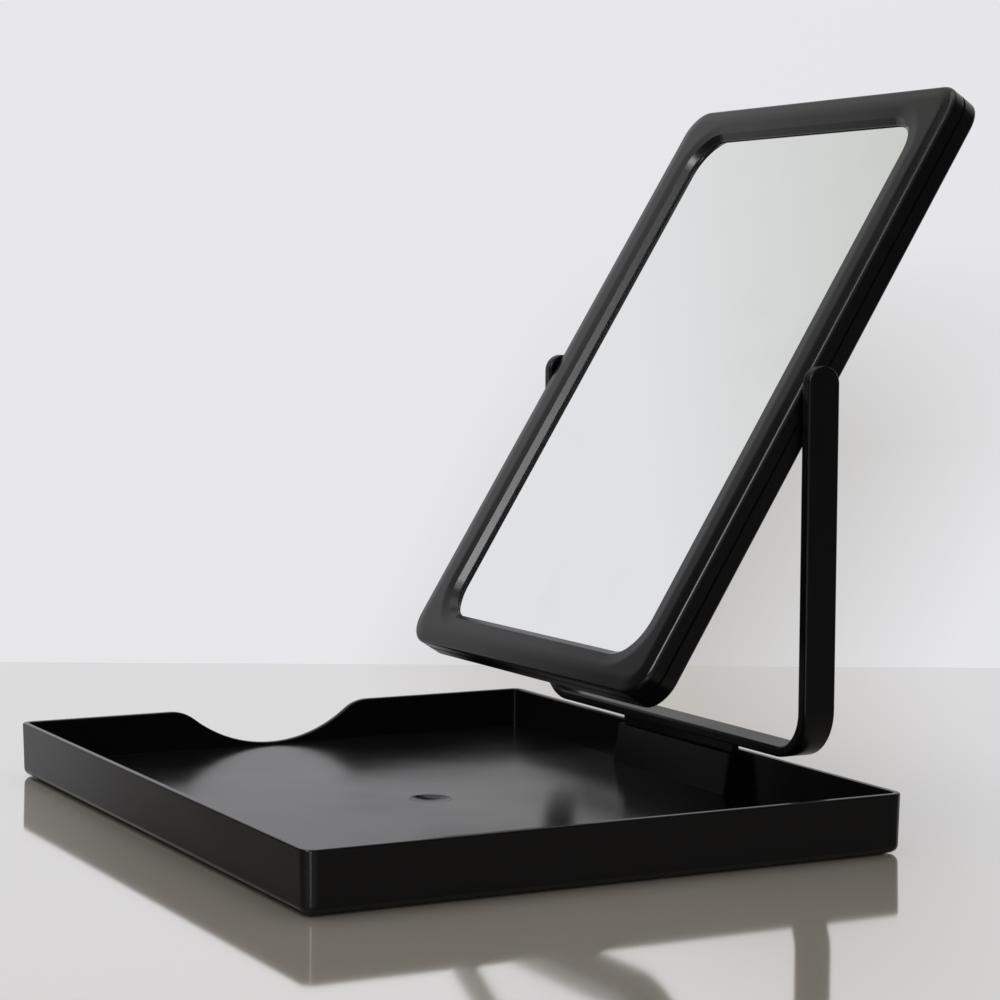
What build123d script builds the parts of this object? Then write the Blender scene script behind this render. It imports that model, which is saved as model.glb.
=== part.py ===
from build123d import *
import os
from math import cos, radians, sin, tan

os.makedirs("parts", exist_ok=True)

# Table mirror: a portrait mirror that turns in a U-shaped stand, and the stand plugs into a shallow tray.
# X runs across the mirror, -Y is the front, Z is up. The origin is the tray's centre on the table.

# Tray, measured at its rim: the walls lean out a little, as a moulding needs
tray_width = 240.4
tray_depth = 191.9
tray_height = 17.7
tray_draft = 1.6
tray_wall = 2.2
tray_floor = 2.2
tray_lower_edge = 2.4
tray_corner_flat = 1.6
tray_rim_edge = 0.5
well_corner = 1.8
foot_ring = 3.2
floor_recess = 1.6
dimple_diameter = 14.0
dimple_depth = 1.2

# Thumb notch in the end wall, on the middle line of the mirror as it lies in the tray
notch_width = 75.2
notch_depth = 13.0
notch_shoulder = 14.0
notch_shift = -4.55

# Non-slip sheet in the hollow under the floor
pad_stand_out = 0.4
pad_margin = 0.6
pad_corner = 2.0

# Socket block on the inner face of the rear wall
socket_width = 70.0
socket_below_rim = 0.7
socket_top_depth = 4.6
socket_foot_depth = 6.4
socket_edge = 0.6
socket_screw_spacing = 44.0
socket_screw_inset = 3.6

# Leaf spring in the socket
spring_length = 28.0
spring_height = 3.4
spring_thickness = 0.3
spring_seat_depth = 0.9
spring_room = 0.3
spring_touch = 0.03

# Stand
stand_depth = 11.2
stand_setback = 5.0
arm_thickness = 4.0
bar_thickness = 3.4
stand_inner_corner = 12.0
stand_edge = 0.8
arm_rise = 2.2
rim_gap = 3.4
neck_width = 68.0
tongue_width = 60.0
tongue_thickness = 2.6
tongue_length = 5.0
tongue_play = 0.2
tongue_lead = 0.5
seat_gap = 0.05

# Mirror head
mirror_width = 156.0
mirror_height = 217.0
mirror_thickness = 11.0
mirror_corner = 10.0
mirror_lean = 32.0
swing_gap = 1.2
side_gap = 0.8
side_face = 15.2
end_face = 12.6
shell_floor = 2.0
shell_back_edge = 1.0
seam_edge = 0.1
crown_outside = 4.4
crown_inside = 5.8
crown_drop = 0.6
crown_blend = 14.0
bezel_edge = 1.5
bezel_lip = 1.9
lip_bevel = 1.6
opening_corner = 12.0
gasket_thickness = 0.3
gasket_setback = 0.2
glass_overlap = 4.0
glass_thickness = 3.0
glass_play = 0.4
glass_edge = 0.3

# Pivots
pin_diameter = 3.0
pin_in_arm = 2.6
pin_end_room = 0.3
pin_play = 0.05
pin_tip = 0.3
bush_diameter = 5.0
bush_length = 6.0
washer_diameter = 8.0
washer_play = 0.05

# Countersunk screws, shared by the socket and the shell
screw_head_play = 0.03
thread_play = 0.02
slot_width = 0.6
slot_depth = 0.5
socket_screw_radius = 1.2
socket_screw_head = 2.4
socket_screw_length = 8.2
shell_screw_radius = 1.0
shell_screw_head = 1.8
shell_screw_length = 7.8
shell_screw_side = 60.0
shell_screw_end = 45.0

# Heights and places that follow from the sizes above
rim_z = pad_stand_out + tray_height
floor_under_z = pad_stand_out + floor_recess
floor_z = floor_under_z + tray_floor
draft_slope = tan(radians(tray_draft))
foot_inset = tray_height * draft_slope
tray_corner = tray_lower_edge + tray_corner_flat
well_width = tray_width - 2 * tray_wall
well_depth = tray_depth - 2 * tray_wall
hollow_width = tray_width - 2 * (foot_inset + foot_ring)
hollow_depth = tray_depth - 2 * (foot_inset + foot_ring)
stand_y = tray_depth / 2 - stand_setback
socket_top_z = rim_z - socket_below_rim
bar_under_z = rim_z + rim_gap
bar_top_z = bar_under_z + bar_thickness
pivot_z = bar_top_z + swing_gap + mirror_height / 2
arm_inner_x = mirror_width / 2 + side_gap
arm_outer_x = arm_inner_x + arm_thickness
arm_top_z = pivot_z + arm_rise + stand_depth / 2



def rear_wall_at(z):
    # Inner face of the leaning rear wall at height z
    return well_depth / 2 - (rim_z - z) * draft_slope


tongue_tip_z = socket_top_z - tongue_length
tongue_rear_y = rear_wall_at(tongue_tip_z) - tongue_play
tongue_front_y = tongue_rear_y - tongue_thickness
pocket_front_y = tongue_front_y - tongue_play
pocket_floor_z = tongue_tip_z - tongue_play
spring_z = (socket_top_z + tongue_tip_z) / 2
socket_screw_y = rear_wall_at(floor_z) - socket_screw_inset

lean = radians(mirror_lean)
front_normal = Vector(0, -cos(lean), sin(lean))
head_plane = Plane(origin=(0, stand_y, pivot_z), x_dir=(1, 0, 0), z_dir=front_normal)
head_axis = Axis((0, stand_y, pivot_z), front_normal)

# Levels across the thickness of the mirror head, from its middle towards the front
back_level = -mirror_thickness / 2
front_level = mirror_thickness / 2
shell_inside_level = back_level + shell_floor
crown_foot_level = front_level - crown_drop
lip_level = crown_foot_level - bezel_lip
glass_front_level = lip_level - gasket_thickness
glass_back_level = glass_front_level - glass_thickness

opening_width = mirror_width - 2 * side_face
opening_height = mirror_height - 2 * end_face
glass_width = opening_width + 2 * glass_overlap
glass_height = opening_height + 2 * glass_overlap
pocket_width = glass_width + 2 * glass_play
pocket_height = glass_height + 2 * glass_play

screw_line_x = (mirror_width + pocket_width) / 4
screw_line_y = (mirror_height + pocket_height) / 4
shell_screw_points = []
for sign_x in (-1, 1):
    for sign_y in (-1, 1):
        shell_screw_points.append((sign_x * screw_line_x, sign_y * shell_screw_side))
        shell_screw_points.append((sign_x * shell_screw_end, sign_y * screw_line_y))
back_plane = Plane(origin=head_plane.offset(back_level).origin, x_dir=(1, 0, 0), z_dir=-front_normal)

under_plane = Plane(origin=(0, 0, floor_under_z), x_dir=(1, 0, 0), z_dir=(0, 0, -1))
socket_screw_points = [(sign * socket_screw_spacing / 2, -socket_screw_y) for sign in (-1, 1)]

sides = (("left", -1), ("right", 1))


def side_plane(side, x):
    # Plane square to the pivot axis at distance x from the middle, facing outwards
    return Plane(origin=(side * x, stand_y, pivot_z), x_dir=front_normal, z_dir=(side, 0, 0))


def within_opening(point):
    # True for a point inside or on the edge of the mirror's opening
    spot = head_plane.to_local_coords(point)
    return abs(spot.X) < opening_width / 2 + side_face / 2 and abs(spot.Y) < opening_height / 2 + end_face / 2


def finish(piece, name):
    piece.part.label = name
    export_step(piece.part, f"parts/{name}.step")


# Tray with raised floor
with BuildPart() as tray:
    with BuildSketch(Plane.XY.offset(rim_z)):
        RectangleRounded(tray_width, tray_depth, tray_corner)
    extrude(amount=-tray_height, taper=tray_draft)
    fillet(tray.faces().sort_by(Axis.Z)[0].edges(), radius=tray_lower_edge)
    with BuildSketch(Plane.XY.offset(rim_z)):
        RectangleRounded(well_width, well_depth, well_corner)
    extrude(amount=floor_z - rim_z, taper=tray_draft, mode=Mode.SUBTRACT)
    with BuildSketch(Plane.XY.offset(pad_stand_out)):
        RectangleRounded(hollow_width, hollow_depth, well_corner)
    extrude(amount=floor_recess, mode=Mode.SUBTRACT)
    # Thumb notch: a broad arc that runs into the rim over two round shoulders
    notch_half = notch_width / 2
    notch_radius = (notch_half**2 + notch_depth**2 - 2 * notch_depth * notch_shoulder) / (2 * notch_depth)
    share = notch_radius / (notch_radius + notch_shoulder)
    arc_centre_z = rim_z - notch_depth + notch_radius
    meet_y = notch_half * share
    meet_z = arc_centre_z + (rim_z - notch_shoulder - arc_centre_z) * share
    with BuildSketch(Plane.YZ.offset(-tray_width / 2 - tray_wall)):
        with BuildLine():
            shoulder_in = TangentArc(
                (notch_shift - notch_half, rim_z), (notch_shift - meet_y, meet_z), tangent=(1, 0)
            )
            thumb_arc = TangentArc(shoulder_in @ 1, (notch_shift + meet_y, meet_z), tangent=shoulder_in % 1)
            shoulder_out = TangentArc(thumb_arc @ 1, (notch_shift + notch_half, rim_z), tangent=thumb_arc % 1)
            Polyline(
                shoulder_out @ 1,
                (notch_shift + notch_half, rim_z + notch_depth),
                (notch_shift - notch_half, rim_z + notch_depth),
                shoulder_in @ 0,
            )
        make_face()
    extrude(amount=3 * tray_wall, mode=Mode.SUBTRACT)
    # Soft edges along the rim and the notch, on both sides of the wall
    rim_faces = tray.faces().filter_by(lambda face: face.center().Z > floor_z + tray_wall)
    rim_faces = rim_faces.filter_by(lambda face: face.normal_at().Z > 0.1)
    across_wall = rim_faces.edges().filter_by(Axis.X).filter_by(lambda edge: edge.length < notch_width)
    fillet(rim_faces.edges() - across_wall, radius=tray_rim_edge)
    # Shallow round dimple in the middle of the floor
    dimple_radius = (dimple_diameter**2 / 4 + dimple_depth**2) / (2 * dimple_depth)
    with Locations((0, 0, floor_z - dimple_depth + dimple_radius)):
        Sphere(dimple_radius, mode=Mode.SUBTRACT)
    with Locations(under_plane):
        with Locations(*socket_screw_points):
            CounterSinkHole(
                socket_screw_radius + thread_play, socket_screw_head, tray_floor, counter_sink_angle=90
            )
finish(tray, "tray")

# Non-slip sheet that carries the tray
with BuildPart() as base_pad:
    with BuildSketch():
        RectangleRounded(
            hollow_width - 2 * pad_margin, hollow_depth - 2 * pad_margin, pad_corner
        )
    extrude(amount=floor_under_z)
finish(base_pad, "base_pad")

# Wedge-shaped socket block with a pocket that is open towards the rear wall
with BuildPart() as stand_socket:
    with BuildSketch(Plane.YZ):
        with BuildLine():
            Polyline(
                (rear_wall_at(floor_z), floor_z),
                (rear_wall_at(socket_top_z), socket_top_z),
                (rear_wall_at(socket_top_z) - socket_top_depth, socket_top_z),
                (rear_wall_at(floor_z) - socket_foot_depth, floor_z),
                close=True,
            )
        make_face()
    extrude(amount=socket_width / 2, both=True)
    front_face = stand_socket.faces().sort_by(Axis.Y)[0]
    fillet(front_face.edges().filter_by(lambda edge: edge.center().Z > floor_z), radius=socket_edge)
    with BuildSketch(Plane.XY.offset(pocket_floor_z)):
        with Locations((0, pocket_front_y)):
            Rectangle(
                tongue_width + 2 * tongue_play,
                rear_wall_at(rim_z) - pocket_front_y,
                align=(Align.CENTER, Align.MIN),
            )
    extrude(amount=tray_height, mode=Mode.SUBTRACT)
    with Locations((0, pocket_front_y, spring_z)):
        Box(
            spring_length + 2 * spring_room,
            spring_seat_depth,
            spring_height + 2 * spring_room,
            align=(Align.CENTER, Align.MAX, Align.CENTER),
            mode=Mode.SUBTRACT,
        )
    with BuildSketch(Plane.XY.offset(floor_z)):
        with Locations(*[(x, -y) for x, y in socket_screw_points]):
            Circle(socket_screw_radius + thread_play)
    extrude(amount=socket_screw_length - tray_floor + pin_end_room, mode=Mode.SUBTRACT)
finish(stand_socket, "stand_socket")

# Bowed leaf: its ends sit in the socket's recess and its crest meets the tongue
with BuildPart() as socket_spring:
    leaf_seat_y = pocket_front_y - spring_seat_depth
    leaf_crest_y = tongue_front_y - spring_touch
    with BuildSketch(Plane.XY.offset(spring_z)):
        with BuildLine():
            seat_arc = ThreePointArc(
                (-spring_length / 2, leaf_seat_y),
                (0, leaf_crest_y - spring_thickness),
                (spring_length / 2, leaf_seat_y),
            )
            crest_arc = ThreePointArc(
                (-spring_length / 2, leaf_seat_y + spring_thickness),
                (0, leaf_crest_y),
                (spring_length / 2, leaf_seat_y + spring_thickness),
            )
            Line(seat_arc @ 0, crest_arc @ 0)
            Line(seat_arc @ 1, crest_arc @ 1)
        make_face()
    extrude(amount=spring_height / 2, both=True)
finish(socket_spring, "socket_spring")


def countersunk_screws(plane, points, radius, head, length):
    # Screws whose heads lie flush in the given plane, each with a straight driver slot
    with BuildPart() as screws:
        with Locations(plane):
            with Locations(*points):
                head_radius = head - screw_head_play
                Cone(
                    radius, head_radius, head_radius - radius, align=(Align.CENTER, Align.CENTER, Align.MAX)
                )
                Cylinder(radius, length, align=(Align.CENTER, Align.CENTER, Align.MAX))
                Box(
                    2 * head,
                    slot_width,
                    slot_depth,
                    align=(Align.CENTER, Align.CENTER, Align.MAX),
                    mode=Mode.SUBTRACT,
                )
    return screws


socket_screws = countersunk_screws(
    under_plane, socket_screw_points, socket_screw_radius, socket_screw_head, socket_screw_length
)
finish(socket_screws, "socket_screws")

# Stand: U-shaped yoke with round arm ends, and a flat tongue under the crossbar
with BuildPart() as stand:
    # Ring twice as tall as the yoke: the side profile below cuts it at the arm ends
    arm_align = (Align.CENTER, Align.MIN)
    with BuildSketch(Plane.XZ.offset(-stand_y)):
        with Locations((0, bar_under_z)):
            RectangleRounded(
                2 * arm_outer_x, 2 * (arm_top_z - bar_under_z), stand_inner_corner + arm_thickness, align=arm_align
            )
        with Locations((0, bar_top_z)):
            RectangleRounded(
                2 * arm_inner_x,
                2 * (arm_top_z - bar_top_z),
                stand_inner_corner,
                align=arm_align,
                mode=Mode.SUBTRACT,
            )
    extrude(amount=stand_depth / 2, both=True)
    with BuildSketch(Plane.YZ):
        with Locations((stand_y, pivot_z + arm_rise)):
            Circle(stand_depth / 2)
        with Locations((stand_y, bar_under_z)):
            Rectangle(stand_depth, pivot_z + arm_rise - bar_under_z, align=arm_align)
    extrude(amount=arm_outer_x, both=True, mode=Mode.INTERSECT)
    fillet(stand.edges(), radius=stand_edge)
    with Locations((0, tongue_rear_y, bar_under_z + bar_thickness / 2)):
        Box(
            neck_width,
            tongue_thickness,
            bar_thickness / 2 + bar_under_z - socket_top_z - seat_gap,
            align=(Align.CENTER, Align.MAX, Align.MAX),
        )
    with Locations((0, tongue_rear_y, bar_under_z)):
        Box(
            tongue_width,
            tongue_thickness,
            bar_under_z - tongue_tip_z,
            align=(Align.CENTER, Align.MAX, Align.MAX),
        )
    chamfer(stand.faces().sort_by(Axis.Z)[0].edges(), length=tongue_lead)
    for name, side in sides:
        with BuildSketch(side_plane(side, arm_inner_x)):
            Circle(pin_diameter / 2 + pin_play)
        extrude(amount=pin_in_arm + pin_end_room, mode=Mode.SUBTRACT)
finish(stand, "stand")

# Rear shell of the mirror head: the back half of the frame, closed behind the glass
with BuildPart() as rear_shell:
    with BuildSketch(head_plane.offset(back_level)):
        RectangleRounded(mirror_width, mirror_height, mirror_corner)
    extrude(amount=-back_level)
    fillet(rear_shell.faces().sort_by(head_axis)[0].edges(), radius=shell_back_edge)
    chamfer(rear_shell.faces().sort_by(head_axis)[-1].edges(), length=seam_edge)
    with BuildSketch(head_plane.offset(shell_inside_level)):
        RectangleRounded(pocket_width, pocket_height, opening_corner)
    extrude(amount=mirror_thickness, mode=Mode.SUBTRACT)
    for name, side in sides:
        with BuildSketch(side_plane(side, mirror_width / 2 - bush_length)):
            Circle(bush_diameter / 2)
        extrude(amount=2 * bush_length, mode=Mode.SUBTRACT)
    with Locations(back_plane):
        with Locations(*shell_screw_points):
            CounterSinkHole(
                shell_screw_radius + thread_play, shell_screw_head, -back_level, counter_sink_angle=90
            )
finish(rear_shell, "rear_shell")

# Front bezel: the front half of the frame, slightly crowned, with a lip over the glass
with BuildPart() as front_bezel:
    with BuildSketch(head_plane):
        RectangleRounded(mirror_width, mirror_height, mirror_corner)
        RectangleRounded(opening_width, opening_height, opening_corner, mode=Mode.SUBTRACT)
    extrude(amount=front_level)
    chamfer(front_bezel.faces().sort_by(head_axis)[0].outer_wire().edges(), length=seam_edge)
    crest = front_bezel.faces().sort_by(head_axis)[-1]
    chamfer(crest.outer_wire().edges(), length=crown_outside, length2=crown_drop, reference=crest)
    crest = front_bezel.faces().sort_by(head_axis)[-1]
    chamfer(crest.inner_wires()[0].edges(), length=crown_inside, length2=crown_drop, reference=crest)
    fillet(front_bezel.faces().sort_by(head_axis)[-1].edges(), radius=crown_blend)
    near_foot = (crown_foot_level - crown_drop / 4, crown_foot_level + crown_drop / 4)
    foot_edges = front_bezel.edges().filter_by_position(head_axis, *near_foot)
    outer_feet = foot_edges.filter_by(lambda edge: not within_opening(edge.center()))
    fillet(outer_feet, radius=bezel_edge)
    # The lip slopes inwards all round, down to the glass
    with BuildSketch(head_plane.offset(front_level)):
        bevel_reach = lip_bevel + crown_drop
        RectangleRounded(
            opening_width + 2 * bevel_reach, opening_height + 2 * bevel_reach, opening_corner + bevel_reach
        )
    extrude(amount=-bevel_reach, taper=45, mode=Mode.SUBTRACT)
    with BuildSketch(head_plane):
        RectangleRounded(pocket_width, pocket_height, opening_corner)
    extrude(amount=lip_level, mode=Mode.SUBTRACT)
    for name, side in sides:
        with BuildSketch(side_plane(side, mirror_width / 2 - bush_length)):
            Circle(bush_diameter / 2)
        extrude(amount=2 * bush_length, mode=Mode.SUBTRACT)
    with BuildSketch(head_plane):
        with Locations(*shell_screw_points):
            Circle(shell_screw_radius + thread_play)
    extrude(amount=shell_screw_length + back_level + pin_end_room, mode=Mode.SUBTRACT)
finish(front_bezel, "front_bezel")

# Thin soft ring between the lip and the glass
with BuildPart() as glass_gasket:
    with BuildSketch(head_plane.offset(glass_front_level)):
        RectangleRounded(glass_width, glass_height, opening_corner)
        RectangleRounded(
            opening_width + 2 * gasket_setback,
            opening_height + 2 * gasket_setback,
            opening_corner + gasket_setback,
            mode=Mode.SUBTRACT,
        )
    extrude(amount=gasket_thickness)
finish(glass_gasket, "glass_gasket")

# Silvered glass
with BuildPart() as mirror_glass:
    with BuildSketch(head_plane.offset(glass_back_level)):
        RectangleRounded(glass_width, glass_height, opening_corner)
    extrude(amount=glass_thickness)
    chamfer(mirror_glass.faces().sort_by(head_axis)[-1].edges(), length=glass_edge)
finish(mirror_glass, "mirror_glass")

# Foam sheet that presses the glass forward
with BuildPart() as backing_pad:
    with BuildSketch(head_plane.offset(shell_inside_level)):
        RectangleRounded(glass_width - glass_overlap, glass_height - glass_overlap, opening_corner)
    extrude(amount=glass_back_level - shell_inside_level)
finish(backing_pad, "backing_pad")

shell_screws = countersunk_screws(
    back_plane, shell_screw_points, shell_screw_radius, shell_screw_head, shell_screw_length
)
finish(shell_screws, "shell_screws")

# Pivots: a bush in each side of the head, a pin that runs in the arm, and a washer in the gap
for name, side in sides:
    with BuildPart() as pivot_bush:
        with BuildSketch(side_plane(side, mirror_width / 2 - bush_length)):
            Circle(bush_diameter / 2)
            Circle(pin_diameter / 2, mode=Mode.SUBTRACT)
        extrude(amount=bush_length)
    finish(pivot_bush, f"pivot_bush_{name}")

    with BuildPart() as pivot_pin:
        with BuildSketch(side_plane(side, mirror_width / 2 - bush_length)):
            Circle(pin_diameter / 2)
        extrude(amount=bush_length + side_gap + pin_in_arm)
        chamfer(pivot_pin.faces().filter_by(Axis.X).edges(), length=pin_tip)
    finish(pivot_pin, f"pivot_pin_{name}")

    with BuildPart() as friction_washer:
        with BuildSketch(side_plane(side, mirror_width / 2 + washer_play)):
            Circle(washer_diameter / 2)
            Circle(pin_diameter / 2 + pin_play, mode=Mode.SUBTRACT)
        extrude(amount=side_gap - 2 * washer_play)
    finish(friction_washer, f"friction_washer_{name}")
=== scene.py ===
import bpy
import math
from mathutils import Matrix, Vector

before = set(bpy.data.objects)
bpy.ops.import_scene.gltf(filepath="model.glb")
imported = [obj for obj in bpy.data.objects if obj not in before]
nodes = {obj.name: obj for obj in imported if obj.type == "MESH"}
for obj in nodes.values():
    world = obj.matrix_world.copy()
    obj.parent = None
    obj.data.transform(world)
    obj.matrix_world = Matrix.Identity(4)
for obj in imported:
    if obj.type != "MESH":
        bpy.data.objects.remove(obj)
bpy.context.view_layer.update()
scene = bpy.context.scene
scene.view_settings.view_transform = "Standard"
bpy.ops.object.select_all(action="DESELECT")
print("frame loaded,", len(nodes), "nodes")


# small helpers for node trees
def addNode(tree, kind, label, x, y, **settings):
    node = tree.nodes.new(kind)
    node.label = label
    node.location = (x, y)
    for key, value in settings.items():
        setattr(node, key, value)
    return node


def link(tree, source, target):
    tree.links.new(source, target)


# a number or tuple is set on the socket, what another node puts out is linked to it
def feed(tree, value, socket):
    if isinstance(value, (float, tuple)):
        socket.default_value = value
    else:
        link(tree, value, socket)


# the next ones add a node and give back what comes out of it
def mathOf(tree, label, x, y, operation, *values, clamp=False):
    node = addNode(tree, "ShaderNodeMath", label, x, y, operation=operation, use_clamp=clamp)
    for value, socket in zip(values, node.inputs):
        feed(tree, value, socket)
    return node.outputs[0]


def dotOf(tree, label, x, y, first, second):
    node = addNode(tree, "ShaderNodeVectorMath", label, x, y, operation="DOT_PRODUCT")
    feed(tree, first, node.inputs[0])
    feed(tree, second, node.inputs[1])
    return node.outputs["Value"]


def rangeOf(tree, label, x, y, source, fromSpan, toSpan=(0.0, 1.0)):
    node = addNode(tree, "ShaderNodeMapRange", label, x, y)
    node.inputs["From Min"].default_value, node.inputs["From Max"].default_value = fromSpan
    node.inputs["To Min"].default_value, node.inputs["To Max"].default_value = toSpan
    link(tree, source, node.inputs["Value"])
    return node.outputs["Result"]


def noiseOf(tree, label, x, y, place, scale, detail, roughness=0.5, distortion=0.0):
    node = addNode(tree, "ShaderNodeTexNoise", label, x, y)
    link(tree, place, node.inputs["Vector"])
    feed(tree, scale, node.inputs["Scale"])
    node.inputs["Detail"].default_value = detail
    node.inputs["Roughness"].default_value = roughness
    node.inputs["Distortion"].default_value = distortion
    return node.outputs["Fac"]


def aimOf(tree, label, x, y, place, turn=0.0, stretch=(1.0, 1.0, 1.0)):
    node = addNode(tree, "ShaderNodeMapping", label, x, y)
    link(tree, place, node.inputs["Vector"])
    node.inputs["Rotation"].default_value = (0.0, 0.0, turn)
    node.inputs["Scale"].default_value = stretch
    return node.outputs["Vector"]


def upwardOf(tree, label, x, y, source):
    node = addNode(tree, "ShaderNodeSeparateXYZ", label, x, y)
    link(tree, source, node.inputs[0])
    return node.outputs["Z"]


def bumpOf(tree, label, x, y, height, strength, depth):
    node = addNode(tree, "ShaderNodeBump", label, x, y)
    link(tree, height, node.inputs["Height"])
    node.inputs["Strength"].default_value = strength
    node.inputs["Distance"].default_value = depth
    return node.outputs["Normal"]


def blendColour(tree, label, x, y, factor, first, second):
    node = addNode(tree, "ShaderNodeMix", label, x, y, data_type="RGBA")
    link(tree, factor, node.inputs["Factor"])
    for value, socket in ((first, node.inputs["A"]), (second, node.inputs["B"])):
        feed(tree, (*value, 1.0) if isinstance(value, tuple) else value, socket)
    return node.outputs["Result"]


def blendShaders(tree, label, x, y, factor, first, second):
    node = addNode(tree, "ShaderNodeMixShader", label, x, y)
    feed(tree, factor, node.inputs["Fac"])
    link(tree, first, node.inputs[1])
    link(tree, second, node.inputs[2])
    return node.outputs[0]


# shared effects: a group is built once and placed in each material with its own values
def startGroup(name, inputs, outputs):
    group = bpy.data.node_groups.new(name, "ShaderNodeTree")
    group.interface.new_socket(name="Place", in_out="INPUT", socket_type="NodeSocketVector")
    for label, value in inputs:
        socket = group.interface.new_socket(name=label, in_out="INPUT", socket_type="NodeSocketFloat")
        socket.default_value = value
    for label in outputs:
        group.interface.new_socket(name=label, in_out="OUTPUT", socket_type="NodeSocketFloat")
    start = addNode(group, "NodeGroupInput", "in", -900, 0)
    end = addNode(group, "NodeGroupOutput", "out", 900, 0)
    return group, start.outputs, end.inputs


def useGroup(tree, group, x, y, place, **values):
    node = addNode(tree, "ShaderNodeGroup", group.name, x, y, node_tree=group)
    link(tree, place, node.inputs["Place"])
    for key, value in values.items():
        node.inputs[key].default_value = value
    return node.outputs


# fine spark texture of the mould, plus a slow cloudiness of the plastic
grainForm = {
    "grainsPerMetre": 2600.0,
    "grainRoughness": 0.55,
    "pitScale": 0.45,
    "pitShare": 0.4,
    "cloudScale": 26.0,
}


def buildMouldGrain(form):
    inputs = [("Grains per metre", form["grainsPerMetre"])]
    group, start, end = startGroup("mouldGrain", inputs, ["Height", "Cloud"])
    place, perMetre = start["Place"], start["Grains per metre"]
    fine = noiseOf(group, "spark grain", -500, 250, place, perMetre, 3.0, roughness=form["grainRoughness"])
    pits = addNode(group, "ShaderNodeTexVoronoi", "spark pits", -500, 0, feature="SMOOTH_F1")
    pitScale = mathOf(group, "pit scale", -700, -40, "MULTIPLY", perMetre, form["pitScale"])
    link(group, place, pits.inputs["Vector"])
    link(group, pitScale, pits.inputs["Scale"])
    both = addNode(group, "ShaderNodeMix", "grain and pits", -150, 150)
    both.inputs["Factor"].default_value = form["pitShare"]
    link(group, fine, both.inputs["A"])
    link(group, pits.outputs["Distance"], both.inputs["B"])
    link(group, both.outputs["Result"], end["Height"])
    cloud = noiseOf(group, "slow cloud", -500, -300, place, form["cloudScale"], 4.0)
    link(group, cloud, end["Cloud"])
    return group


# hairline rubs in two directions, kept to some areas
rubForm = {
    "share": 0.5,
    "ways": ((0.5, (9, 1500, 300)), (-0.9, (1300, 7, 300))),  # turn and stretch
    "lines": (0.66, 0.74),
    "areaScale": 19.0,
    "areas": (0.42, 0.68),
}


def buildHairRubs(form):
    group, start, end = startGroup("hairRubs", [("Share", form["share"])], ["Mask"])
    place = start["Place"]
    lines = []
    for index, (turn, stretch) in enumerate(form["ways"]):
        row = 250 - 400 * index
        aim = aimOf(group, "rub direction", -700, row, place, turn, stretch)
        streaks = noiseOf(group, "rub streaks", -500, row, aim, 1.0, 1.0)
        lines.append(rangeOf(group, "thin lines", -250, row, streaks, form["lines"]))
    either = mathOf(group, "either way", 0, 100, "MAXIMUM", *lines)
    area = noiseOf(group, "rubbed areas", -500, -550, place, form["areaScale"], 2.0)
    keep = rangeOf(group, "area edge", -250, -550, area, form["areas"])
    partly = mathOf(group, "only there", 250, 0, "MULTIPLY", either, keep)
    weaker = mathOf(group, "share", 500, 0, "MULTIPLY", partly, start["Share"])
    link(group, weaker, end["Mask"])
    return group


# polish along the edges, where hands and the table rub the satin away
polishForm = {
    "width": 0.0009,
    "turns": (0.985, 0.86),
    "patchScale": 120.0,
    "patches": (0.3, 0.65),
    "leastPolish": 0.35,
}


def buildEdgePolish(form):
    group, start, end = startGroup("edgePolish", [("Width", form["width"])], ["Mask"])
    rounded = addNode(group, "ShaderNodeBevel", "rounded normal", -600, 200, samples=6)
    link(group, start["Width"], rounded.inputs["Radius"])
    surface = addNode(group, "ShaderNodeNewGeometry", "surface", -600, 0)
    turn = dotOf(group, "turned", -350, 150, rounded.outputs["Normal"], surface.outputs["Normal"])
    mark = rangeOf(group, "edge", -100, 150, turn, form["turns"])
    patch = noiseOf(group, "patchy", -350, -200, start["Place"], form["patchScale"], 3.0)
    broken = rangeOf(group, "broken", -100, -200, patch, form["patches"], (form["leastPolish"], 1.0))
    both = mathOf(group, "edge and patch", 200, 50, "MULTIPLY", mark, broken)
    link(group, both, end["Mask"])
    return group


# a little dust on what faces up
dustForm = {
    "amount": 0.1,
    "upward": (0.5, 0.95),
    "speckScale": 1700.0,
    "specks": (0.56, 0.74),
    "speckShare": 0.7,
    "filmScale": 14.0,
}


def buildFaintDust(form):
    group, start, end = startGroup("faintDust", [("Amount", form["amount"])], ["Mask"])
    place = start["Place"]
    surface = addNode(group, "ShaderNodeNewGeometry", "surface", -700, 200)
    slope = upwardOf(group, "upward part", -500, 200, surface.outputs["Normal"])
    upward = rangeOf(group, "faces up", -300, 200, slope, form["upward"])
    speck = noiseOf(group, "specks", -500, -100, place, form["speckScale"], 2.0)
    loose = rangeOf(group, "loose specks", -300, -100, speck, form["specks"])
    film = noiseOf(group, "film", -500, -350, place, form["filmScale"], 3.0)
    dusty = mathOf(group, "specks on film", 0, -150, "MULTIPLY_ADD", loose, form["speckShare"], film)
    here = mathOf(group, "only upward", 250, 50, "MULTIPLY", upward, dusty)
    some = mathOf(group, "amount", 500, 0, "MULTIPLY", here, start["Amount"], clamp=True)
    link(group, some, end["Mask"])
    return group


mouldGrain = buildMouldGrain(grainForm)
hairRubs = buildHairRubs(rubForm)
edgePolish = buildEdgePolish(polishForm)
faintDust = buildFaintDust(dustForm)
print("shared surface effects built")


def startPaint(name):
    material = bpy.data.materials.new(name)
    material.use_nodes = True
    tree = material.node_tree
    tree.nodes.clear()
    addNode(tree, "ShaderNodeOutputMaterial", "out", 1000, 0)
    return material, tree


def showShader(tree, shader):
    link(tree, shader, tree.nodes["Material Output"].inputs["Surface"])


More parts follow.
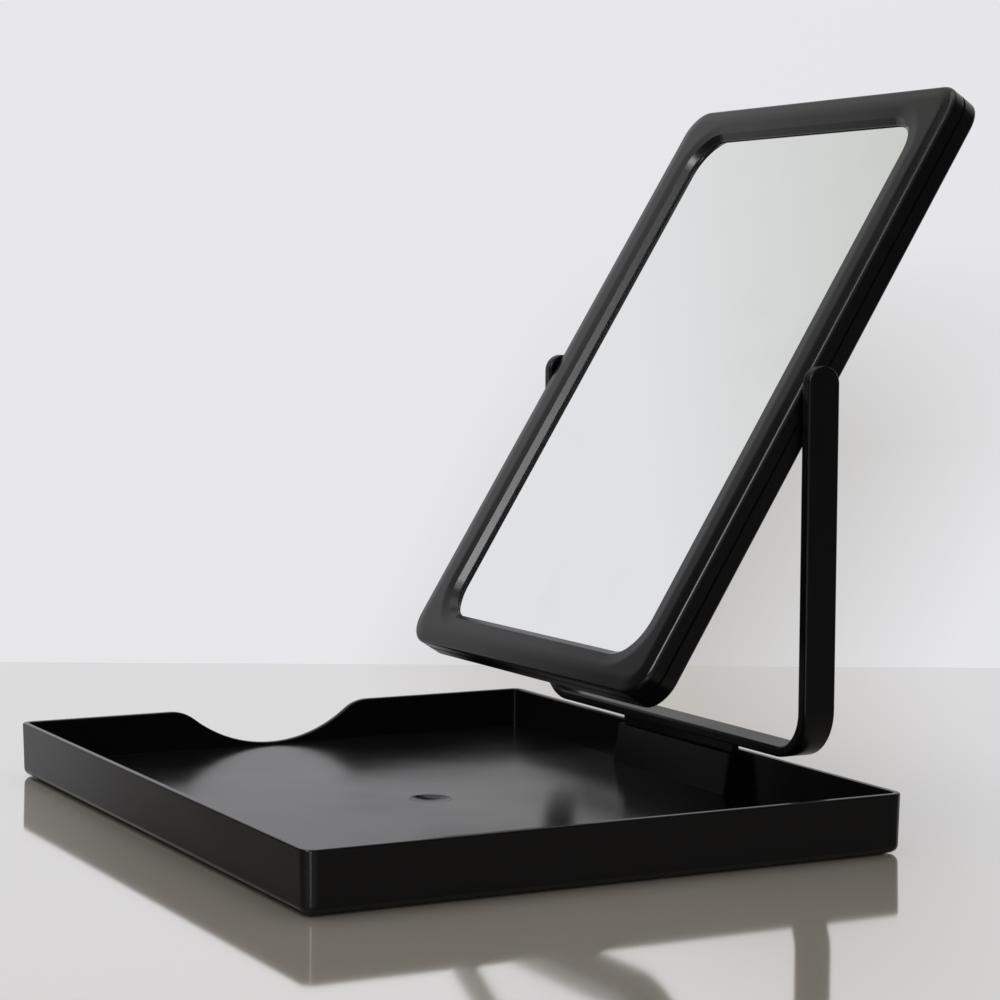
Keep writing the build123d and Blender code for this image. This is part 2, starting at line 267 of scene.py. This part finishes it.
def startMaterial(name):
    material, tree = startPaint(name)
    skin = addNode(tree, "ShaderNodeBsdfPrincipled", "skin", 600, 0)
    showShader(tree, skin.outputs["BSDF"])
    place = addNode(tree, "ShaderNodeTexCoord", "place", -900, 0).outputs["Object"]
    return material, tree, skin, place


def finishSkin(tree, skin, colour, rough, normal):
    link(tree, colour, skin.inputs["Base Color"])
    link(tree, rough, skin.inputs["Roughness"])
    link(tree, normal, skin.inputs["Normal"])


def dress(material, *names):
    for name in names:
        nodes[name].data.materials.clear()
        nodes[name].data.materials.append(material)


# the seam has no shine: all matt across its width, then the usual share
def dullSeam(tree, place, seam, matt):
    offset = addNode(tree, "ShaderNodeVectorMath", "from the seam", -100, -600, operation="SUBTRACT")
    link(tree, place, offset.inputs[0])
    offset.inputs[1].default_value = seam["point"]
    depth = dotOf(tree, "depth", 100, -600, offset.outputs[0], seam["way"])
    apart = mathOf(tree, "apart", 300, -600, "ABSOLUTE", depth)
    return rangeOf(tree, "dull seam", 500, -600, apart, seam["width"], (1.0, matt))


def buildSatinPlastic(name, look):
    material, tree, skin, place = startMaterial(name)
    grain = useGroup(tree, mouldGrain, -600, 300, place, **{"Grains per metre": look["grainsPerMetre"]})
    rubs = useGroup(tree, hairRubs, -600, 0, place, Share=look["rubs"])["Mask"]
    edge = useGroup(tree, edgePolish, -600, -200, place, Width=look["edgeWidth"])["Mask"]
    dust = useGroup(tree, faintDust, -600, -400, place, Amount=look["dust"])["Mask"]
    tone = blendColour(tree, "cloudy black", -300, 300, grain["Cloud"], look["dark"], look["light"])
    worn = blendColour(tree, "polished edge", -100, 250, edge, tone, look["edgeTone"])
    dusty = blendColour(tree, "dust", 100, 200, dust, worn, look["dustTone"])
    spread = (look["smooth"], look["rough"])
    rough = rangeOf(tree, "cloudy satin", -300, 0, grain["Cloud"], look["cloudSpan"], spread)
    rough = mathOf(tree, "sleeker edge", -100, -50, "MULTIPLY_ADD", edge, look["edgeSleek"], rough)
    rough = mathOf(tree, "rougher rubs", 100, -100, "MULTIPLY_ADD", rubs, look["rubRough"], rough)
    rough = mathOf(tree, "dull dust", 300, -150, "MULTIPLY_ADD", dust, look["dustRough"], rough, clamp=True)
    cut = mathOf(tree, "rubs cut in", -100, -350, "MULTIPLY_ADD", rubs, look["rubHeight"], grain["Height"])
    normal = bumpOf(tree, "grain", 300, -350, cut, look["grainStrength"], look["grainDepth"])
    finishSkin(tree, skin, dusty, rough, normal)
    skin.inputs["IOR"].default_value = look["refraction"]
    skin.inputs["Specular IOR Level"].default_value = look["shine"]
    hollow = addNode(tree, "ShaderNodeBsdfDiffuse", "shaded grain hollows", 600, -450)
    link(tree, tone, hollow.inputs["Color"])
    matt = look["matt"]
    if "seam" in look:
        matt = dullSeam(tree, place, look["seam"], matt)
    satin = blendShaders(tree, "satin", 800, -100, matt, skin.outputs["BSDF"], hollow.outputs["BSDF"])
    showShader(tree, satin)
    return material


# tray: satin black moulding, the floor rubbed by what lies in it
trayLook = {
    "dark": (0.0034, 0.0033, 0.0038),
    "light": (0.0056, 0.0055, 0.0061),
    "edgeTone": (0.022, 0.022, 0.023),
    "dustTone": (0.20, 0.20, 0.205),
    "cloudSpan": (0.3, 0.7),
    "smooth": 0.13,
    "rough": 0.19,
    "edgeSleek": -0.03,
    "edgeWidth": 0.0008,
    "rubs": 0.3,
    "rubRough": 0.12,
    "rubHeight": -0.6,
    "dust": 0.01,
    "dustRough": 0.5,
    "grainsPerMetre": 2600.0,
    "grainStrength": 0.25,
    "grainDepth": 0.00004,
    "refraction": 1.5,
    "shine": 0.4,
    "matt": 0.27,
}
dress(buildSatinPlastic("traySatin", trayLook), "tray")

# socket block: the same plastic with a duller face
socketLook = dict(trayLook, smooth=0.34, rough=0.42, matt=0.55)
dress(buildSatinPlastic("socketSatin", socketLook), "stand_socket")

# stand: the same plastic, less glossy than the tray
standLook = dict(trayLook, smooth=0.20, rough=0.27, rubs=0.2, dust=0.008, matt=0.4)
dress(buildSatinPlastic("standSatin", standLook), "stand")

# mirror frame: bezel and rear shell, with no shine in the fine seam between them
frameLean = math.radians(32.0)
frameLook = dict(trayLook, smooth=0.20, rough=0.27, rubs=0.2, dust=0.008, matt=0.15)
frameLook["seam"] = {
    "point": (0.0, 0.09095, 0.1346),
    "way": (0.0, -math.cos(frameLean), math.sin(frameLean)),
    "width": (0.0003, 0.0005),
}
dress(buildSatinPlastic("frameSatin", frameLook), "front_bezel", "rear_shell")

# nylon washers between frame and arms
washerLook = dict(trayLook, smooth=0.42, rough=0.5, rubs=0.1, dust=0.0, grainsPerMetre=4000.0)
dress(buildSatinPlastic("washerNylon", washerLook), "friction_washer_left", "friction_washer_right")
print("black plastics dressed")


# non-slip sheet and backing: dark elastomer with a fine diamond tread, which the gasket goes without
padLook = {
    "dark": (0.018, 0.018, 0.019),
    "light": (0.034, 0.034, 0.035),
    "dustTone": (0.16, 0.16, 0.16),
    "dust": 0.05,
    "grainsPerMetre": 1500.0,
    "grainShare": 0.15,
    "treadScale": 133.69,
    "treadTurns": (math.radians(45), math.radians(-45)),
    "treadStrength": 0.7,
    "treadDepth": 0.0002,
    "smooth": 0.62,
    "rough": 0.82,
    "shine": 0.35,
}
gasketLook = dict(padLook, treadDepth=0.0)


def buildPadRubber(name, look):
    material, tree, skin, place = startMaterial(name)
    grain = useGroup(tree, mouldGrain, -600, 300, place, **{"Grains per metre": look["grainsPerMetre"]})
    dust = useGroup(tree, faintDust, -600, -450, place, Amount=look["dust"])["Mask"]
    ribs = []
    for index, turn in enumerate(look["treadTurns"]):
        aim = aimOf(tree, "tread direction", -700, -200 * index, place, turn)
        rib = addNode(tree, "ShaderNodeTexWave", "tread", -500, -200 * index, wave_profile="SIN")
        rib.inputs["Scale"].default_value = look["treadScale"]
        link(tree, aim, rib.inputs["Vector"])
        ribs.append(rib.outputs["Fac"])
    tread = mathOf(tree, "diamonds", -250, -50, "MULTIPLY", *ribs)
    height = mathOf(tree, "tread, grain", 0, -150, "MULTIPLY_ADD", grain["Height"], look["grainShare"], tread)
    normal = bumpOf(tree, "tread", 300, -250, height, look["treadStrength"], look["treadDepth"])
    tone = blendColour(tree, "cloudy rubber", -100, 300, grain["Cloud"], look["dark"], look["light"])
    dusty = blendColour(tree, "dust", 150, 250, dust, tone, look["dustTone"])
    rough = rangeOf(tree, "rubbed tread", 150, 0, tread, (0.0, 1.0), (look["rough"], look["smooth"]))
    finishSkin(tree, skin, dusty, rough, normal)
    skin.inputs["Specular IOR Level"].default_value = look["shine"]
    return material


dress(buildPadRubber("padRubber", padLook), "base_pad", "backing_pad")
dress(buildPadRubber("gasketRubber", gasketLook), "glass_gasket")
print("rubber dressed")


# turned and drawn metal: fine tooling lines round or along the piece
pinLook = {
    "bright": (0.62, 0.62, 0.63),
    "dull": (0.42, 0.42, 0.43),
    "edgeTone": (0.78, 0.78, 0.79),
    "edgeWidth": 0.0003,
    "smooth": 0.18,
    "rough": 0.36,
    "tarnishScale": 260.0,
    "toolStretch": (4000, 300, 300),
    "toolStrength": 0.3,
    "toolDepth": 0.00002,
}
bushLook = dict(pinLook, bright=(0.72, 0.53, 0.24), dull=(0.50, 0.35, 0.14), edgeTone=(0.86, 0.68, 0.36))
screwLook = dict(pinLook, smooth=0.30, rough=0.46, toolStretch=(900, 900, 900))
screwLook.update(bright=(0.085, 0.085, 0.088), dull=(0.045, 0.045, 0.047), edgeTone=(0.30, 0.30, 0.31))


def buildToolMetal(name, look):
    material, tree, skin, place = startMaterial(name)
    aim = aimOf(tree, "tool direction", -700, 200, place, stretch=look["toolStretch"])
    lines = noiseOf(tree, "tool lines", -500, 200, aim, 1.0, 3.0)
    stain = noiseOf(tree, "tarnish", -500, -100, place, look["tarnishScale"], 4.0)
    edge = useGroup(tree, edgePolish, -500, -350, place, Width=look["edgeWidth"])["Mask"]
    tone = blendColour(tree, "tarnished", -150, 200, stain, look["bright"], look["dull"])
    worn = blendColour(tree, "bright edge", 100, 200, edge, tone, look["edgeTone"])
    rough = rangeOf(tree, "tooled", -150, -50, lines, (0.0, 1.0), (look["smooth"], look["rough"]))
    normal = bumpOf(tree, "tool marks", 300, -250, lines, look["toolStrength"], look["toolDepth"])
    finishSkin(tree, skin, worn, rough, normal)
    skin.inputs["Metallic"].default_value = 1.0
    return material


dress(buildToolMetal("pinSteel", pinLook), "pivot_pin_left", "pivot_pin_right", "socket_spring")
dress(buildToolMetal("bushBrass", bushLook), "pivot_bush_left", "pivot_bush_right")
dress(buildToolMetal("screwBlackened", screwLook), "shell_screws", "socket_screws")
print("metals dressed")


# silvered glass with faint wiping smears and a few dull specks
glassLook = {
    "silver": (0.925, 0.94, 0.935),
    "smeared": (0.905, 0.92, 0.915),
    "tarnish": (0.80, 0.82, 0.81),
    "smearScale": 23.0,
    "smearWarp": 1.2,
    "smears": (0.52, 0.72),
    "speckScale": 900.0,
    "specks": (0.74, 0.8),
}


def buildSilveredGlass(name, look):
    material, tree, skin, place = startMaterial(name)
    smear = noiseOf(tree, "smears", -500, 100, place, look["smearScale"], 5.0, distortion=look["smearWarp"])
    speck = noiseOf(tree, "specks", -500, -200, place, look["speckScale"], 2.0)
    film = rangeOf(tree, "smeared areas", -250, 100, smear, look["smears"])
    dots = rangeOf(tree, "few specks", -250, -200, speck, look["specks"])
    wiped = blendColour(tree, "smear", -150, 0, film, look["silver"], look["smeared"])
    tone = blendColour(tree, "silver", 0, 200, dots, wiped, look["tarnish"])
    link(tree, tone, skin.inputs["Base Color"])
    skin.inputs["Roughness"].default_value = 0.0
    skin.inputs["Metallic"].default_value = 1.0
    return material


dress(buildSilveredGlass("silveredGlass", glassLook), "mirror_glass")
print("glass dressed")


# camera: its place and three directions were fitted to the photo
cameraLook = {
    "place": (0.75668, -0.37428, 0.16084),
    "right": (0.46242, 0.88664, 0.00594),
    "down": (0.06959, -0.02961, -0.99714),
    "forward": (-0.88393, 0.46151, -0.07540),
    "lens": 97.117,
    "sensor": 36.0,
    "shift": (0.0096, 0.0061),
    "clip": (0.01, 50.0),
}


def buildCamera(look):
    bpy.ops.object.camera_add()
    camera = bpy.context.object
    camera.name = "photoCamera"
    right, down, forward = (Vector(look[key]) for key in ("right", "down", "forward"))
    turn = Matrix((right, -down, -forward)).transposed().to_4x4()
    camera.matrix_world = Matrix.Translation(look["place"]) @ turn
    camera.data.lens = look["lens"]
    camera.data.sensor_width = look["sensor"]
    camera.data.shift_x, camera.data.shift_y = look["shift"]
    camera.data.clip_start, camera.data.clip_end = look["clip"]
    scene.camera = camera


# table top: pale and lacquered, mirrors more at a low angle
tableLook = {
    "size": 8.0,
    "tone": (0.69, 0.63, 0.535),
    "rough": 0.6,
    "lacquerTone": (0.97, 0.97, 0.98),
    "lacquerRough": (0.063, 0.077),
    "lacquerSheen": (0.06, 0.88),
    "wipeScale": 9.0,
}


def buildTable(look):
    bpy.ops.mesh.primitive_plane_add(size=look["size"], location=(0, 0, 0))
    table = bpy.context.object
    table.name = "tableTop"
    material, tree, skin, place = startMaterial("tableGloss")
    wipes = noiseOf(tree, "wiped gloss", -500, 0, place, look["wipeScale"], 3.0)
    rough = rangeOf(tree, "gloss", -200, 0, wipes, (0.0, 1.0), look["lacquerRough"])
    lacquer = addNode(tree, "ShaderNodeBsdfGlossy", "lacquer", 300, -250)
    lacquer.inputs["Color"].default_value = (*look["lacquerTone"], 1.0)
    link(tree, rough, lacquer.inputs["Roughness"])
    slope = addNode(tree, "ShaderNodeLayerWeight", "viewing slope", -200, 300).outputs["Facing"]
    sheen = rangeOf(tree, "lacquer sheen", 0, 300, slope, (0.0, 1.0), look["lacquerSheen"])
    skin.inputs["Base Color"].default_value = (*look["tone"], 1.0)
    skin.inputs["Roughness"].default_value = look["rough"]
    skin.inputs["Specular IOR Level"].default_value = 0.0
    both = blendShaders(tree, "lacquered", 750, 100, sheen, skin.outputs["BSDF"], lacquer.outputs["BSDF"])
    showShader(tree, both)
    table.data.materials.append(material)


# the room as the object mirrors it: dark, with a lit ceiling and a lit front
roomLook = {
    "ambient": 0.60,
    "tone": (0.045, 0.045, 0.048),
    "ceilingTone": (0.55, 0.55, 0.56),
    "ceilingSpan": (0.62, 0.92),
    "frontTone": (0.50, 0.50, 0.51),
    "frontWay": (0.77, -0.64, 0.0),
    "frontSpan": (0.55, 0.85),
}

# lit wall behind the table, spans in metres to the right of straight ahead or above the table
wallLook = {
    "tone": (0.80, 0.80, 0.825),
    "sideTone": (0.79, 0.79, 0.815),
    "sideSpan": (0.02, 0.24),
    "highTone": (0.56, 0.57, 0.52),
    "highSpan": (0.33, 0.60),
    "shadeTone": (0.56, 0.55, 0.535),
    "shadeStart": (-0.0645, 0.0655),
    "shadeEnd": (0.0855, 0.2035),
    "shadeTop": (0.098, 0.1885),
    "lean": -0.5,
    "unlitSpan": (-0.47, -0.60),
    "distance": 1.191,
    "left": 1.20,
    "right": 1.60,
    "height": 0.90,
}


# flat sheet with its place in its mesh
def addSheet(name, place, turn, size):
    bpy.ops.mesh.primitive_plane_add(size=1.0, location=(0, 0, 0))
    sheet = bpy.context.object
    sheet.name = name
    sheet.matrix_world = Matrix.Translation(place) @ turn @ Matrix.Diagonal((*size, 1.0, 1.0))
    bpy.ops.object.transform_apply(location=True, rotation=True, scale=True)
    return sheet


def buildWall(look):
    heading = Vector((cameraLook["forward"][0], cameraLook["forward"][1], 0.0)).normalized()
    across = Vector((heading.y, -heading.x, 0.0))
    foot = Vector((cameraLook["place"][0], cameraLook["place"][1], 0.0)) + heading * look["distance"]
    middle = foot + across * (look["right"] - look["left"]) / 2
    middle.z = look["height"] / 2
    turn = Matrix((across, Vector((0, 0, 1)), -heading)).transposed().to_4x4()
    wall = addSheet("backWall", middle, turn, (look["right"] + look["left"], look["height"]))
    material, tree = startPaint("wallPaint")
    place = addNode(tree, "ShaderNodeTexCoord", "place", -1100, 0).outputs["Object"]
    along = dotOf(tree, "along the wall", -900, 150, place, tuple(across))
    along = mathOf(tree, "from straight ahead", -700, 150, "SUBTRACT", along, foot.dot(across))
    height = upwardOf(tree, "height", -700, -100, place)
    leaning = mathOf(tree, "leaning edge", -500, -300, "MULTIPLY_ADD", height, look["lean"], along)
    toRight = rangeOf(tree, "falls off to the right", -500, 150, along, look["sideSpan"])
    upward = rangeOf(tree, "falls off upwards", -500, -100, height, look["highSpan"])
    # soft shade that the mirror throws on the wall, leaning as it leans
    start = rangeOf(tree, "shade starts", -300, 600, leaning, look["shadeStart"])
    stop = rangeOf(tree, "shade ends", -300, 450, leaning, look["shadeEnd"], (1.0, 0.0))
    below = rangeOf(tree, "shade thins out upwards", -300, 750, height, look["shadeTop"], (1.0, 0.0))
    width = mathOf(tree, "shade width", -100, 550, "MULTIPLY", start, stop)
    shade = mathOf(tree, "shade", 0, 650, "MULTIPLY", width, below)
    tone = blendColour(tree, "side", -250, 150, toRight, look["tone"], look["sideTone"])
    tone = blendColour(tree, "shaded", -150, 250, shade, tone, look["shadeTone"])
    tone = blendColour(tree, "high", -100, 0, upward, tone, look["highTone"])
    # satin mirrors a dark end of the wall, the sharp glass mirrors the wall as it is
    unlit = rangeOf(tree, "unlit end of the wall", -300, -300, leaning, look["unlitSpan"])
    ray = addNode(tree, "ShaderNodeLightPath", "ray", -500, -550).outputs
    kinds = (ray["Is Glossy Ray"], ray["Is Singular Ray"])
    satin = mathOf(tree, "satin but not glass", -300, -550, "SUBTRACT", *kinds, clamp=True)
    mirrored = mathOf(tree, "in reflections", -100, -450, "MULTIPLY", satin, unlit)
    tone = blendColour(tree, "lit and unlit", 50, -200, mirrored, tone, roomLook["tone"])
    paint = addNode(tree, "ShaderNodeEmission", "paint", 250, 100)
    link(tree, tone, paint.inputs["Color"])
    clear = addNode(tree, "ShaderNodeBsdfTransparent", "clear from behind", 250, -100)
    side = addNode(tree, "ShaderNodeNewGeometry", "side", 250, 350).outputs["Backfacing"]
    front = blendShaders(tree, "front only", 500, 0, side, paint.outputs[0], clear.outputs[0])
    showShader(tree, front)
    wall.data.materials.append(material)
    wall.visible_diffuse = False
    wall.visible_shadow = False


def buildWorld(look):
    world = bpy.data.worlds.new("room")
    scene.world = world
    world.use_nodes = True
    tree = world.node_tree
    tree.nodes.clear()
    end = addNode(tree, "ShaderNodeOutputWorld", "out", 900, 0)
    seen = addNode(tree, "ShaderNodeBackground", "seen", 300, 250)
    seen.inputs["Color"].default_value = (*wallLook["tone"], 1.0)
    lit = addNode(tree, "ShaderNodeBackground", "ambient", 300, -100)
    lit.inputs["Strength"].default_value = look["ambient"]
    way = addNode(tree, "ShaderNodeTexCoord", "direction", -500, 0).outputs["Generated"]
    slope = upwardOf(tree, "upward part", -300, 0, way)
    ceiling = rangeOf(tree, "ceiling", -100, 0, slope, look["ceilingSpan"])
    toFront = dotOf(tree, "to the front right", -300, -250, way, look["frontWay"])
    front = rangeOf(tree, "lit front", -100, -250, toFront, look["frontSpan"])
    tone = blendColour(tree, "room", 50, 50, ceiling, look["tone"], look["ceilingTone"])
    tone = blendColour(tree, "room and front", 150, -100, front, tone, look["frontTone"])
    mirrored = addNode(tree, "ShaderNodeBackground", "mirrored room", 300, 80)
    link(tree, tone, mirrored.inputs["Color"])
    ray = addNode(tree, "ShaderNodeLightPath", "ray", 100, 500).outputs
    kinds = (ray["Is Camera Ray"], ray["Is Transmission Ray"])
    direct = mathOf(tree, "camera or through", 350, 500, "MAXIMUM", *kinds)
    glossy = ray["Is Glossy Ray"]
    indirect = blendShaders(tree, "glossy rays", 550, 0, glossy, lit.outputs[0], mirrored.outputs[0])
    whole = blendShaders(tree, "camera rays", 700, 100, direct, indirect, seen.outputs[0])
    link(tree, whole, end.inputs["Surface"])


def addSoftbox(name, place, target, size, power):
    bpy.ops.object.light_add(type="AREA", location=place)
    lamp = bpy.context.object
    lamp.name = name
    lamp.rotation_euler = (Vector(target) - Vector(place)).to_track_quat("-Z", "Y").to_euler()
    lamp.data.shape = "RECTANGLE"
    lamp.data.size, lamp.data.size_y = size
    lamp.data.energy = power
    lamp.visible_glossy = False


# bright cards that only show in the object's own reflections, as sheen and as lines on rounded edges
topLight = {"place": (-0.35, 0.05, 1.25), "target": (0.0, 0.0, 0.05), "size": (1.3, 1.0)}
highLight = {"place": (0.35, -0.964, 1.05), "target": (0.08, 0.05, 0.10), "size": (0.45, 0.80)}
bevelLight = {"place": (0.51, -0.85, 0.80), "target": (-0.06, 0.03, 0.06), "size": (0.40, 0.36)}
lowLight = {"place": (0.80, -0.60, 0.11), "target": (0.0, 0.0, 0.11), "size": (0.22, 0.20)}
oneBounce = 1.5  # Ray Depth counts whole bounces, so this parts the first from the second

shinyPieces = bpy.data.collections.new("shinyPieces")
for piece in nodes.values():
    shinyPieces.objects.link(piece)


# throughTable: the object mirrors the card by way of the table, other cards light the object directly
def addGlowCard(name, place, target, size, strength, throughTable=False):
    place, target = Vector(place), Vector(target)
    turn = (target - place).to_track_quat("Z", "Y").to_matrix().to_4x4()
    card = addSheet(name, place, turn, size)
    material, tree = startPaint(name + "Glow")
    clear = addNode(tree, "ShaderNodeBsdfTransparent", "clear", 0, 100)
    glow = addNode(tree, "ShaderNodeEmission", "glow", 0, -100)
    glow.inputs["Strength"].default_value = strength
    if throughTable:
        bounces = addNode(tree, "ShaderNodeLightPath", "ray", -600, 0).outputs["Ray Depth"]
        second = mathOf(tree, "second mirroring", -400, 0, "GREATER_THAN", bounces, oneBounce)
        kept = mathOf(tree, "kept glow", -200, 0, "MULTIPLY", second, strength)
        link(tree, kept, glow.inputs["Strength"])
    else:
        card.light_linking.receiver_collection = shinyPieces
    both = addNode(tree, "ShaderNodeAddShader", "clear and glowing", 250, 0)
    link(tree, clear.outputs[0], both.inputs[0])
    link(tree, glow.outputs[0], both.inputs[1])
    showShader(tree, both.outputs[0])
    card.data.materials.append(material)
    card.visible_camera = False
    card.visible_diffuse = False
    card.visible_shadow = False


buildTable(tableLook)
buildWall(wallLook)
buildWorld(roomLook)
addSoftbox("topSoftbox", power=6.5, **topLight)
addGlowCard("topCard", strength=1.1, **topLight)
addGlowCard("highCard", strength=6.0, **highLight)
addGlowCard("bevelCard", strength=8.0, **bevelLight)
addGlowCard("lowCard", strength=6.0, throughTable=True, **lowLight)
buildCamera(cameraLook)
print("stage, light and camera set")
